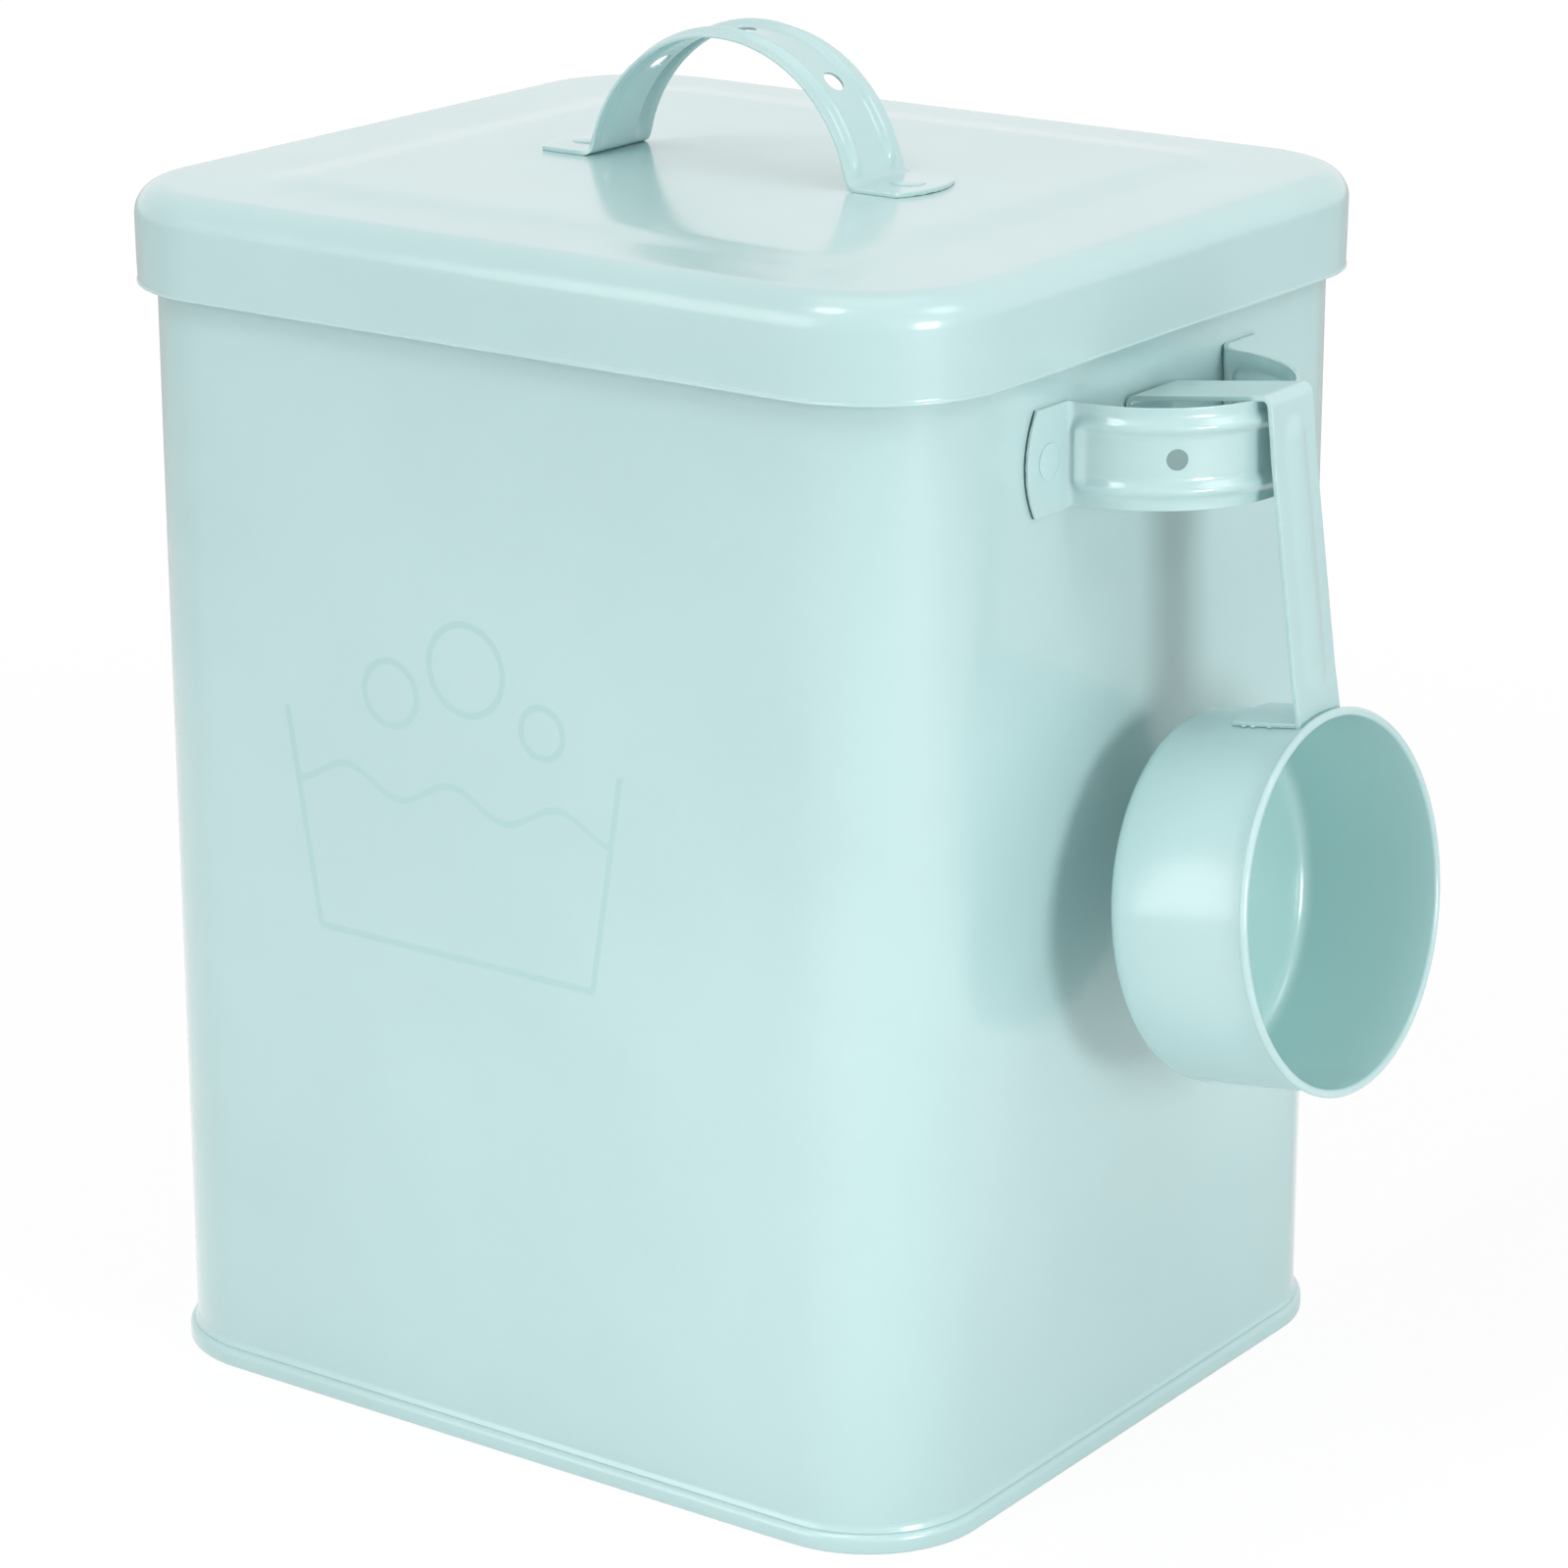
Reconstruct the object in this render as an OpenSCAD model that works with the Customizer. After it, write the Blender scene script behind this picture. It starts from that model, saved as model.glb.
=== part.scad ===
// Storage tin with a slip lid, strap handles and a hanging scoop.
// Millimetres. The origin is the middle of the seam ring that the tin stands on, +Z is up,
// the front is at -Y and the scoop hangs on the right, at +X.

/* [Tin body] */
// Width of the body across its front
body_w = 182; // [160:1:220]
// Depth of the body from front to back
body_d = 159; // [145:1:200]
// Height of the body's rolled rim above the table
body_h = 234; // [200:0.1:280]
// Outside radius of the body's upright corners
corner_r = 23; // [20:1:30]
// Thickness of the body, base and lid sheet
sheet_t = 0.6; // [0.5:0.1:0.8]
// Diameter of the rim that is rolled inwards
rim_d = 3; // [2.4:0.1:3.6]
// Width of the flat lock seam at the back
lock_seam_w = 6; // [4:0.5:9]
// Height of the lock seam above the wall
lock_seam_t = 0.5; // [0.3:0.1:0.6]
// Distance of the lock seam's ends from the base seam and the rolled rim
lock_seam_end = 1; // [0.5:0.5:4]

/* [Base seam] */
// How far the seam bead stands out from the wall
bead_out = 1.5; // [1.3:0.1:2.4]
// Height of the seam bead
bead_h = 3.6; // [3:0.1:5]
// Height of the sunk bottom above the table
base_lift = 3; // [2:0.1:6]
// Room between the wall and the folds of the seam
seam_gap = 0.05; // [0.03:0.01:0.1]

/* [Lid] */
// How far the lid's skirt stands out from the body
lid_over = 3.9; // [3.6:0.1:4.4]
// Depth of the lid from its top land to its hem
lid_drop = 19; // [16:0.5:26]
// Radius of the lid's rounded top edge
lid_edge_r = 6; // [5.5:0.5:8]
// Diameter of the rolled hem
hem_d = 2; // [1.4:0.1:2]
// Room between the rolled rim and the lid at rest
lid_gap = 0.3; // [0.2:0.1:0.5]
// Margin from the lid's sides to its raised panel
panel_side = 23; // [18:0.5:28]
// Margin from the lid's front and back to its raised panel
panel_front = 15.5; // [13:0.5:20]
// Corner radius of the raised panel
panel_r = 14; // [8:1:18]
// Height of the raised panel
panel_rise = 1; // [0.6:0.1:1.6]
// Width of the panel's sloping step
panel_step = 1.8; // [1:0.1:3]

/* [Strap handles] */
// Thickness of the handle sheet
strap_t = 0.9; // [0.8:0.1:1.2]
// Width of the strap along its arch
strap_w = 18.6; // [17.6:0.1:20]
// Width of the feet
foot_w = 19.6; // [19:0.1:23]
// Length of the flat of a foot
foot_l = 12.4; // [11.5:0.1:16]
// Radius of the foot's rounded end
foot_end_r = 18; // [15:0.1:30]
// Bend radius where a leg turns into its foot
bend_r = 1.5; // [1:0.1:2]
// Height of the two pressed beads
emboss_h = 1.4; // [1:0.1:1.5]
// Radius of the beads' round section
emboss_r = 2.4; // [2.3:0.1:2.7]
// Distance of a bead from the strap's middle line
emboss_offset = 5.8; // [5.6:0.1:6.3]
// Diameter of the holes along the arch
hole_d = 3.9; // [3:0.1:5]
// Distance between neighbouring holes along the strap
hole_pitch = 22.3; // [20:0.1:23]

/* [Lid handle] */
// Radius of the lid handle's arch
lid_arch_r = 30.5; // [29:0.1:33]
// Height of that arch's centre above its seat
lid_arch_lift = -4.5; // [-5.5:0.1:-4]
// Half of the angle that the arch sweeps
lid_arch_half = 70; // [68:1:71]

/* [Side handles] */
// Radius of the side handles' arch
side_arch_r = 26.2; // [24:0.1:29]
// Distance of that arch's centre from its wall
side_arch_lift = 1.6; // [1.2:0.1:3]
// Half of the angle that the arch sweeps
side_arch_half = 80; // [76:1:81]
// Distance of the side handles' feet below the lid's hem
side_below_lid = 7; // [4:0.1:40]
// Distance of the right handle in front of the wall's middle
side_forward = 2.5; // [0:0.1:6]

/* [Rivets] */
// Diameter of the rivet shanks
rivet_d = 3.2; // [2.6:0.1:4]
// Diameter of the flat rivet heads
rivet_head_d = 6.6; // [5.5:0.1:8]
// Height of the heads, inside and outside
rivet_head_t = 0.4; // [0.3:0.1:0.6]
// Room round a shank in its holes
rivet_gap = 0.05; // [0.03:0.01:0.1]
// Distance of a rivet from the end of the foot's bend
rivet_in = 5.6; // [5:0.1:6.5]

/* [Scoop] */
// Outside diameter of the cup's wall
cup_d = 69.4; // [60:0.1:80]
// Depth of the cup outside
cup_depth = 29.5; // [24:0.1:34]
// Thickness of the cup's sheet
cup_t = 0.7; // [0.5:0.1:1]
// Radius of the cup's rounded bottom edge
cup_edge_r = 4.5; // [3:0.1:7]
// Diameter of the cup's rolled rim
cup_rim_d = 2; // [1.6:0.1:2.4]
// Width of the scoop's strap
scoop_w = 14.6; // [12:0.1:18]
// Thickness of the scoop's strap
scoop_t = 1; // [0.8:0.1:1.4]
// Length of the strap from the hook's top to the cup
scoop_l = 60; // [50:0.5:75]
// Length of the lip at the hook's inner end
hook_lip = 7; // [5:0.5:12]
// Outside radius of the hook's bends
hook_r = 2; // [1.6:0.1:3]
// Length of the curved tab on the cup
tab_l = 14.5; // [10:0.5:18]
// Distance of the tab's sides inside the strap's
tab_inset = 0.3; // [0.2:0.1:1]
// Tilt of the hanging scoop
scoop_tilt = 7.6; // [4:0.1:9]
// Distance of the scoop in front of the right handle's middle
scoop_shift = 0; // [0:0.1:4]
// Distance of the strap's pressed rib from the hook's top
rib_top = 5; // [3:0.5:8]
// Length of the rib
rib_l = 50; // [30:1:52]
// Width of the rib where it leaves the strap
rib_w = 7; // [5:0.1:9]
// Height of the rib
rib_h = 0.8; // [0.5:0.1:0.9]
// Room where the scoop hangs on its handle and by the wall
hang_gap = 0.05; // [0.03:0.01:0.3]

/* [Hidden] */
$fn = 96;
cut = 1;
// Where one stretch of a strap runs into the next, it is thinner by join_in a side and buried by join_l
join_in = 0.02;
join_l = 0.5;

tin_color = [0.73, 0.87, 0.86];
strap_color = [0.75, 0.88, 0.87];
scoop_color = [0.71, 0.86, 0.85];

rim_r = rim_d / 2;
hem_r = hem_d / 2;

// The lid seats with its rounded edge just above the rolled rim
lid_w = body_w + 2 * lid_over;
lid_d = body_d + 2 * lid_over;
lid_r = corner_r + lid_over;
rim_inset = lid_edge_r - rim_r - lid_over;
rim_reach = lid_edge_r - sheet_t - rim_r - lid_gap;
lid_top = body_h - rim_r - sqrt(rim_reach * rim_reach - rim_inset * rim_inset) + lid_edge_r;
panel_w = lid_w - 2 * panel_side;
panel_d = lid_d - 2 * panel_front;
panel_top = lid_top + panel_rise;

// Base seam folds, outwards from the sunk bottom
chuck_r = corner_r - sheet_t - seam_gap;
fold_t = bead_out - seam_gap;
wall_seat = sheet_t;

// A bead's rod lies below the strap's face, so that only its crown stands out
emboss_sink = emboss_r - emboss_h;

// Straight leg between an arch and the bend of its foot, and the place where the flat foot starts
function leg_len(r, lift, half) = (lift + (r + bend_r) * cos(half) - strap_t - bend_r) / sin(half);
function foot_start(r, lift, half) = (r + bend_r) * sin(half) + leg_len(r, lift, half) * cos(half);

side_handle_z = lid_top - lid_drop - side_below_lid - foot_w / 2;
lid_foot = foot_start(lid_arch_r, lid_arch_lift, lid_arch_half);
side_foot = foot_start(side_arch_r, side_arch_lift, side_arch_half);

// The hook hangs on the upper edge of the right handle, just outside its beads
side_wall_x = body_w / 2;
side_crown_x = side_wall_x + side_arch_lift + side_arch_r + emboss_h;
hook_x = side_crown_x + hang_gap + scoop_t / cos(scoop_tilt);
hook_edge_y = scoop_shift + scoop_w / 2;
hook_rest_x = side_wall_x + side_arch_lift
    + sqrt(pow(side_arch_r - strap_t, 2) - hook_edge_y * hook_edge_y);
hook_z = side_handle_z + strap_w / 2 + hang_gap + scoop_t / cos(scoop_tilt)
    + (hook_x - hook_rest_x) * tan(scoop_tilt);
hook_l = (hook_x - side_wall_x - hang_gap) / cos(scoop_tilt);
cup_r = cup_d / 2;
cup_rim_r = cup_rim_d / 2;
cup_forward = cup_rim_d + hang_gap;
rib_sink = (rib_w * rib_w / 4 - rib_h * rib_h) / (2 * rib_h);
rib_r = rib_sink + rib_h;
rib_run = rib_l - rib_w;

// Flat plate with rounded corners, standing on z = 0
module rounded_plate(w, d, r, t) {
    linear_extrude(t) {
        square([w - 2 * r, d], center = true);
        square([w, d - 2 * r], center = true);
        for (sx = [-1, 1], sy = [-1, 1])
            translate([sx * (w / 2 - r), sy * (d / 2 - r)]) circle(r);
    }
}

// Carries a section round a rounded rectangle. The section's x is the distance from a corner's axis.
module swept_round(w, d, r) {
    for (k = [0 : 3]) {
        half = k % 2 == 0 ? w / 2 : d / 2;
        run = k % 2 == 0 ? d - 2 * r : w - 2 * r;
        rotate(k * 90) {
            translate([half - r, 0, 0]) rotate([90, 0, 0]) linear_extrude(run, center = true) children();
            translate([half - r, run / 2, 0]) rotate_extrude(angle = 90) children();
        }
    }
}

// Points of an arc, for the rounded stretches of a section
function arc_points(x, y, r, from, to, steps = 6) =
    [for (k = [0 : steps]) let (a = from + (to - from) * k / steps) [x + r * cos(a), y + r * sin(a)]];

// Section of a pressed strip of width w and thickness t, as [across, out] points.
// Its beads have round crowns of radius r, whose centres lie below the strip's face by sink.
function pressed_section(w, t, beads, r, sink) =
    let (crown = asin(sink / r), hollow = asin((sink - t) / (r - t)))
    concat(
        [[-w / 2, -t], [-w / 2, 0]],
        [for (c = beads) each arc_points(c, -sink, r, 180 - crown, crown)],
        [[w / 2, 0], [w / 2, -t]],
        [for (k = [len(beads) - 1 : -1 : 0]) each arc_points(beads[k], -sink, r - t, hollow, 180 - hollow)]
    );

// Round end of a bead, half a turn about its own axis, a hair lower than the bead and sunk into the strip
module bead_end(r, sink, t) {
    top_r = r - join_in;
    half_w = sqrt(top_r * top_r - sink * sink);
    dome = arc_points(0, -sink, top_r, asin(sink / top_r), 90, 4);
    rotate_extrude(angle = 180) polygon(concat([[0, -t / 2], [half_w, -t / 2]], dome));
}

module rivet_holes(start, depth) {
    for (s = [-1, 1])
        translate([s * (start + rivet_in), 0, -depth])
            cylinder(d = rivet_d + 2 * rivet_gap, h = depth + cut);
}

// Places children on the right wall, with their seat at the wall and their width upright
module on_side_wall() {
    translate([side_wall_x, -side_forward, side_handle_z]) rotate([90, 0, 90]) children();
}

module body_wall() {
    color(tin_color) difference() {
        union() {
            swept_round(body_w, body_d, corner_r) {
                translate([corner_r - sheet_t, wall_seat]) square([sheet_t, body_h - rim_r - wall_seat]);
                translate([corner_r - rim_r, body_h - rim_r]) circle(rim_r);
            }
            translate([-lock_seam_w / 2, body_d / 2 - sheet_t / 2, bead_h + lock_seam_end])
                cube([lock_seam_w, sheet_t / 2 + lock_seam_t, body_h - rim_d - bead_h - 2 * lock_seam_end]);
        }
        for (turn = [0, 180])
            rotate(turn) on_side_wall() rivet_holes(side_foot, sheet_t + cut);
    }
}

module base_panel() {
    fold_r = fold_t / 2;
    fold_x = corner_r + seam_gap + fold_r;
    inner_r = chuck_r - sheet_t;
    inset = corner_r - inner_r;
    color(tin_color) {
        translate([0, 0, base_lift])
            rounded_plate(body_w - 2 * inset, body_d - 2 * inset, inner_r, sheet_t);
        // Channel that grips the wall's lower edge, with a rounded outer fold
        swept_round(body_w, body_d, corner_r)
            polygon(concat(
                [[inner_r, 0]],
                arc_points(fold_x, fold_r, fold_r, -90, 0),
                arc_points(fold_x, bead_h - fold_r, fold_r, 0, 180, 12),
                [[corner_r + seam_gap, wall_seat], [chuck_r, wall_seat],
                 [chuck_r, base_lift + sheet_t], [inner_r, base_lift + sheet_t]]
            ));
    }
}

module lid_shell() {
    edge_axis = lid_r - lid_edge_r;
    color(tin_color) difference() {
        union() {
            // Rounded edge, skirt and rolled hem
            swept_round(lid_w, lid_d, lid_r) {
                translate([edge_axis, lid_top - lid_edge_r]) intersection() {
                    difference() {
                        circle(lid_edge_r);
                        circle(lid_edge_r - sheet_t);
                    }
                    square(lid_edge_r + cut);
                }
                translate([lid_r - sheet_t, lid_top - lid_drop + hem_r])
                    square([sheet_t, lid_drop - lid_edge_r - hem_r]);
                translate([lid_r - hem_r, lid_top - lid_drop + hem_r]) circle(hem_r);
            }
            // Land round the raised panel
            translate([0, 0, lid_top - sheet_t]) difference() {
                rounded_plate(lid_w - 2 * lid_edge_r, lid_d - 2 * lid_edge_r, edge_axis, sheet_t);
                translate([0, 0, -cut]) rounded_plate(panel_w, panel_d, panel_r, sheet_t + 2 * cut);
            }
            // Sloping step and raised panel
            swept_round(panel_w, panel_d, panel_r)
                polygon([
                    [panel_r, lid_top - sheet_t],
                    [panel_r, lid_top],
                    [panel_r - panel_step, panel_top],
                    [panel_r - panel_step, panel_top - sheet_t]
                ]);
            translate([0, 0, panel_top - sheet_t])
                rounded_plate(panel_w - 2 * panel_step, panel_d - 2 * panel_step,
                    panel_r - panel_step, sheet_t);
        }
        translate([0, 0, panel_top]) rivet_holes(lid_foot, sheet_t + cut);
    }
}

// The strap's path lies in the XY plane, with its width along Z. These two place children on both sides:
// in the frame of a leg, with X out of the strap's face and -Y down the leg, and in the frame of a foot.
module both_legs(lift, half) {
    for (side = [0, 1])
        mirror([side, 0, 0]) translate([0, lift, 0]) rotate(90 - half) children();
}

module both_feet(start) {
    for (side = [0, 1])
        mirror([side, 0, 0]) translate([start, 0, 0]) children();
}

// Embossed arch of the strap, with its row of holes
module strap_arch(r, lift, half) {
    section = pressed_section(strap_w, strap_t, [-emboss_offset, emboss_offset], emboss_r, emboss_sink);
    translate([0, lift, 0]) difference() {
        rotate(90 - half) rotate_extrude(angle = 2 * half) polygon([for (p = section) [r + p[1], p[0]]]);
        for (k = [-1 : 1])
            rotate(k * hole_pitch / r * 180 / PI) rotate([-90, 0, 0])
                cylinder(d = hole_d, h = r + emboss_r);
    }
}

// Flat leg and its bend, buried by a hair in the arch above and the foot below
module strap_leg(r, leg, half) {
    face = arc_points(r + bend_r, -leg, bend_r + join_in, 180, 180 + half, 8);
    back = arc_points(r + bend_r, -leg, bend_r + strap_t - join_in, 180 + half, 180, 8);
    stub = join_l * [sin(half), -cos(half)];
    translate([0, 0, -strap_w / 2]) linear_extrude(strap_w)
        polygon(concat([[r - join_in, join_l]], face, [face[8] + stub, back[0] + stub], back,
            [[r - strap_t + join_in, join_l]]));
    for (side = [-1, 1])
        translate([r, join_in, side * emboss_offset]) rotate([0, 90, 0]) rotate(180)
            bead_end(emboss_r, emboss_sink, strap_t);
}

module strap_foot() {
    difference() {
        intersection() {
            translate([0, 0, -foot_w / 2]) cube([foot_l, strap_t, foot_w]);
            translate([foot_l - foot_end_r, -cut, 0]) rotate([-90, 0, 0])
                cylinder(r = foot_end_r, h = strap_t + 2 * cut);
        }
        translate([rivet_in, -cut, 0]) rotate([-90, 0, 0])
            cylinder(d = rivet_d + 2 * rivet_gap, h = strap_t + 2 * cut);
    }
}

// Pressed strap: an arch on two riveted feet, seated on z = 0, with its length along X
module strap_handle(r, lift, half) {
    color(strap_color) rotate([90, 0, 0]) {
        strap_arch(r, lift, half);
        both_legs(lift, half) strap_leg(r, leg_len(r, lift, half), half);
        both_feet(foot_start(r, lift, half)) strap_foot();
    }
}

module lid_handle() {
    translate([0, 0, panel_top]) strap_handle(lid_arch_r, lid_arch_lift, lid_arch_half);
}

module side_handle_right() {
    on_side_wall() strap_handle(side_arch_r, side_arch_lift, side_arch_half);
}

module side_handle_left() {
    rotate(180) side_handle_right();
}

// Rivets of one handle: flat head outside, shank, and flat tail under the sheet
module rivet_pair(start) {
    color(strap_color) for (s = [-1, 1]) translate([s * (start + rivet_in), 0, 0]) {
        translate([0, 0, strap_t]) cylinder(d = rivet_head_d, h = rivet_head_t);
        translate([0, 0, -sheet_t]) cylinder(d = rivet_d, h = sheet_t + strap_t);
        translate([0, 0, -sheet_t - rivet_head_t]) cylinder(d = rivet_head_d, h = rivet_head_t);
    }
}

module lid_handle_rivets() {
    translate([0, 0, panel_top]) rivet_pair(lid_foot);
}

module side_handle_rivets() {
    for (turn = [0, 180])
        rotate(turn) on_side_wall() rivet_pair(side_foot);
}

// Frame of the hanging scoop: x points out of the cup, z up along the strap, and the hook's outer corner
// is the origin
module hanging() {
    translate([hook_x, -side_forward - scoop_shift, hook_z]) rotate([0, -scoop_tilt, 0]) children();
}

// Frame of the cup: the axis is z, pointing out of the mouth, with z = 0 at the front of the rim
module on_cup() {
    translate([cup_forward, 0, -scoop_l - cup_r]) rotate([0, 90, 0]) children();
}

module scoop_cup() {
    axis_r = cup_r - cup_edge_r;
    color(scoop_color) hanging() on_cup() rotate_extrude() {
        translate([cup_r - cup_t, cup_edge_r - cup_depth])
            square([cup_t, cup_depth - cup_edge_r - cup_rim_r]);
        translate([0, -cup_depth]) square([axis_r, cup_t]);
        translate([axis_r, cup_edge_r - cup_depth]) intersection() {
            difference() {
                circle(cup_edge_r);
                circle(cup_edge_r - cup_t);
            }
            translate([0, -cup_edge_r - cut]) square(cup_edge_r + cut);
        }
        translate([cup_r - cup_t / 2, -cup_rim_r]) circle(cup_rim_r);
    }
}

module scoop_handle() {
    rib_start = -rib_top - rib_w / 2;
    rib_end = rib_start - rib_run;
    bend_z = -hook_r;
    lip_bend_x = hook_r - hook_l;
    bend_in = hook_r - scoop_t;
    tab_half = asin((scoop_w / 2 - tab_inset) / (cup_r + hang_gap));
    section = pressed_section(scoop_w, scoop_t, [0], rib_r, rib_sink);
    color(scoop_color) hanging() {
        // Lip, hook plate and upright, down into the ribbed stretch
        rotate([90, 0, 0]) translate([0, 0, -scoop_w / 2]) linear_extrude(scoop_w) polygon(concat(
            [[-hook_l, -hook_lip]],
            arc_points(lip_bend_x, bend_z, hook_r, 180, 90),
            arc_points(-hook_r, bend_z, hook_r, 90, 0),
            [[0, rib_start + join_l], [-join_in, rib_start + join_l], [-join_in, rib_start - join_l],
             [join_in - scoop_t, rib_start - join_l], [join_in - scoop_t, rib_start + join_l],
             [-scoop_t, rib_start + join_l]],
            arc_points(-hook_r, bend_z, bend_in, 0, 90),
            arc_points(lip_bend_x, bend_z, bend_in, 90, 180),
            [[scoop_t - hook_l, -hook_lip]]
        ));
        // Ribbed stretch, with the rib's round ends
        translate([0, 0, rib_end]) linear_extrude(rib_run) polygon([for (p = section) [p[1], p[0]]]);
        for (end = [[rib_start - join_in, 90], [rib_end + join_in, -90]])
            translate([0, 0, end[0]]) rotate([0, 90, 0]) rotate(end[1]) bead_end(rib_r, rib_sink, scoop_t);
        // Lower end, cut to the cup, and the curved tab that is welded on it
        difference() {
            translate([join_in - scoop_t, -scoop_w / 2, -scoop_l - cup_r])
                cube([scoop_t - 2 * join_in, scoop_w, scoop_l + cup_r + rib_end + join_l]);
            on_cup() translate([0, 0, -cup_depth])
                cylinder(r = cup_r + hang_gap + join_in, h = cup_depth + cut);
        }
        on_cup() rotate(180 - tab_half) rotate_extrude(angle = 2 * tab_half)
            translate([cup_r + hang_gap, -cup_forward - tab_l]) square([scoop_t, tab_l - scoop_t / 2]);
    }
}

body_wall();
base_panel();
lid_shell();
lid_handle();
lid_handle_rivets();
side_handle_right();
side_handle_left();
side_handle_rivets();
scoop_cup();
scoop_handle();
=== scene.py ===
"""Storage tin with a slip lid, pressed strap handles and a hanging scoop, in pale powder coat.

Sizes are in millimetres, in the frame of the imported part, and go to metres when a mesh is made.
"""
import math

import bmesh
import bpy
from mathutils import Matrix, Vector


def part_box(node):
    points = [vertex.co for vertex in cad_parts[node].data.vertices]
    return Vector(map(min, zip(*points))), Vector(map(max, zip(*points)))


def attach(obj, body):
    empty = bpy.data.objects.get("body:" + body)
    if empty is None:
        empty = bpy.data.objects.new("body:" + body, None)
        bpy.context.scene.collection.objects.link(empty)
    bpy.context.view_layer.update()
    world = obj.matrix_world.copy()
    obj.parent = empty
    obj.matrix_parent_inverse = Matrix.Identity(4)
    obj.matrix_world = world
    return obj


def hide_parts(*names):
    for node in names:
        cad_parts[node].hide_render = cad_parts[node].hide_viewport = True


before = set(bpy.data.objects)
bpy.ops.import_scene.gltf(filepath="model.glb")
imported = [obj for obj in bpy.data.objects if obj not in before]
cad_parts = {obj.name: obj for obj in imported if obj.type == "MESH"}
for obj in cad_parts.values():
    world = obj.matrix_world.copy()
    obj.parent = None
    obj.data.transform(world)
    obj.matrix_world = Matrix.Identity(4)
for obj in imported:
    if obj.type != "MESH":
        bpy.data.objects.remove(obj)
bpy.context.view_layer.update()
scene = bpy.context.scene
scene.view_settings.view_transform = "Standard"
MM = 0.001

# Tin body and base seam
BODY_W = 182.0
BODY_D = 159.0
BODY_H = 234.0
CORNER_R = 23.0
SHEET_T = 0.6
RIM_R = 1.5
WALL_DRUM = 0.10
BEAD_OUT = 1.5
BEAD_H = 3.6
BASE_LIFT = 3.0

# Lid
LID_W = 189.8
LID_D = 166.8
LID_R = 26.9
LID_TOP = 234.95
LID_DROP = 19.0
LID_EDGE_R = 6.0
HEM_R = 1.0
HEM_IN = 0.15
PANEL_W = 143.8
PANEL_D = 135.8
PANEL_R = 14.0
PANEL_RISE = 1.0
LAND_RISE = 0.25
STEP_INSET = 12.0
STEP_GROW = 0.4

# Strap handles
STRAP_T = 0.9
STRAP_HALF_W = 9.3
FOOT_HALF_W = 9.8
FOOT_L = 12.4
FOOT_END_R = 18.0
BEND_R = 1.5
BEAD_RISE = 1.15
BEAD_MIDDLE = 5.7
BEAD_HALF_W = 2.0
HOLE_R = 1.95
HOLE_PITCH = 22.3
HOLE_EASE = 0.5
HOLE_BLOCK = 3.2
BLOCK_STEPS = 8
ARCH_THINNING = 0.34
RIVET_IN = 5.6
RIVET_HEAD_R = 3.3
RIVET_HEAD_H = 0.4
STUD_SINK = 0.05

# Scoop
CUP_R = 34.7
CUP_DEPTH = 30.0
CUP_T = 0.7
CUP_EDGE_R = 3.6
CUP_RIM_R = 0.8
CUP_MOUTH_X = 2.05
CUP_STEPS = 128
SCOOP_HALF_W = 7.3
SCOOP_T = 1.0
SCOOP_L = 60.0
SCOOP_TILT = 7.6
SCOOP_Y = -2.5
HOOK_L = 30.47
HOOK_LIP = 7.0
HOOK_R = 2.0
TAB_L = 14.5
HANG_GAP = 0.05
RIB_HALF_W = 3.7
RIB_RISE = 0.6
RIB_TOP = -8.7
RIB_FOOT = -51.3
STRAP_CAMBER = 0.0055
TAB_LEAN = math.asin((SCOOP_HALF_W - 0.3) / CUP_R)
WELD_R = 0.45
WELD_H = 0.30
WELD_ALONG = (-6.5, -10.0, -11.8)

# Angles between faces: shaded sharp, shaded sharp on cut sheet, and bevelled
SHARP_ANGLE = math.radians(40)
CUT_ANGLE = math.radians(48)
BEVEL_ANGLE = math.radians(50)

# Camera fitted to the photograph, with its focal length and shift in pixels
CAMERA_AZIMUTH = math.radians(35.526)
CAMERA_ELEVATION = math.radians(17.839)
CAMERA_ROLL = math.radians(-0.067)
CAMERA_RIGHT = 6.389
CAMERA_UP = 111.581
CAMERA_DISTANCE = 1001.926
CAMERA_FOCAL = 5195.248
CAMERA_SHIFT = (4.163, 7.319)
PHOTO_PIXELS = 1600.0
SENSOR_W = 36.0

# Softboxes: name, azimuth and elevation in degrees, distance and size in metres, power in watts
SOFTBOXES = (
    ("top_softbox", -93, 52, 1.3, 0.37, 2.8),
    ("right_softbox", 4, 43, 1.3, 0.43, 1.8),
    ("overhead", -60, 86, 1.3, 0.90, 1.85),
    ("right_panel", -17, 9, 1.0, 0.24, 3.45),
    ("front_panel", -111, 12, 1.4, 0.80, 4.3),
)
LIGHT_AIM = Vector((0, 0, 0.13))
FLOOR_HALF = 6.0


class Wire:
    """A socket's value in a node tree. Sums on it add Math nodes."""

    def __init__(self, tree, socket):
        self.tree = tree
        self.socket = socket

    def __add__(self, other):
        return self.tree.math("ADD", self, other)

    def __radd__(self, other):
        return self.tree.math("ADD", other, self)

    def __sub__(self, other):
        return self.tree.math("SUBTRACT", self, other)

    def __rsub__(self, other):
        return self.tree.math("SUBTRACT", other, self)

    def __mul__(self, other):
        return self.tree.math("MULTIPLY", self, other)

    def __rmul__(self, other):
        return self.tree.math("MULTIPLY", other, self)


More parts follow.
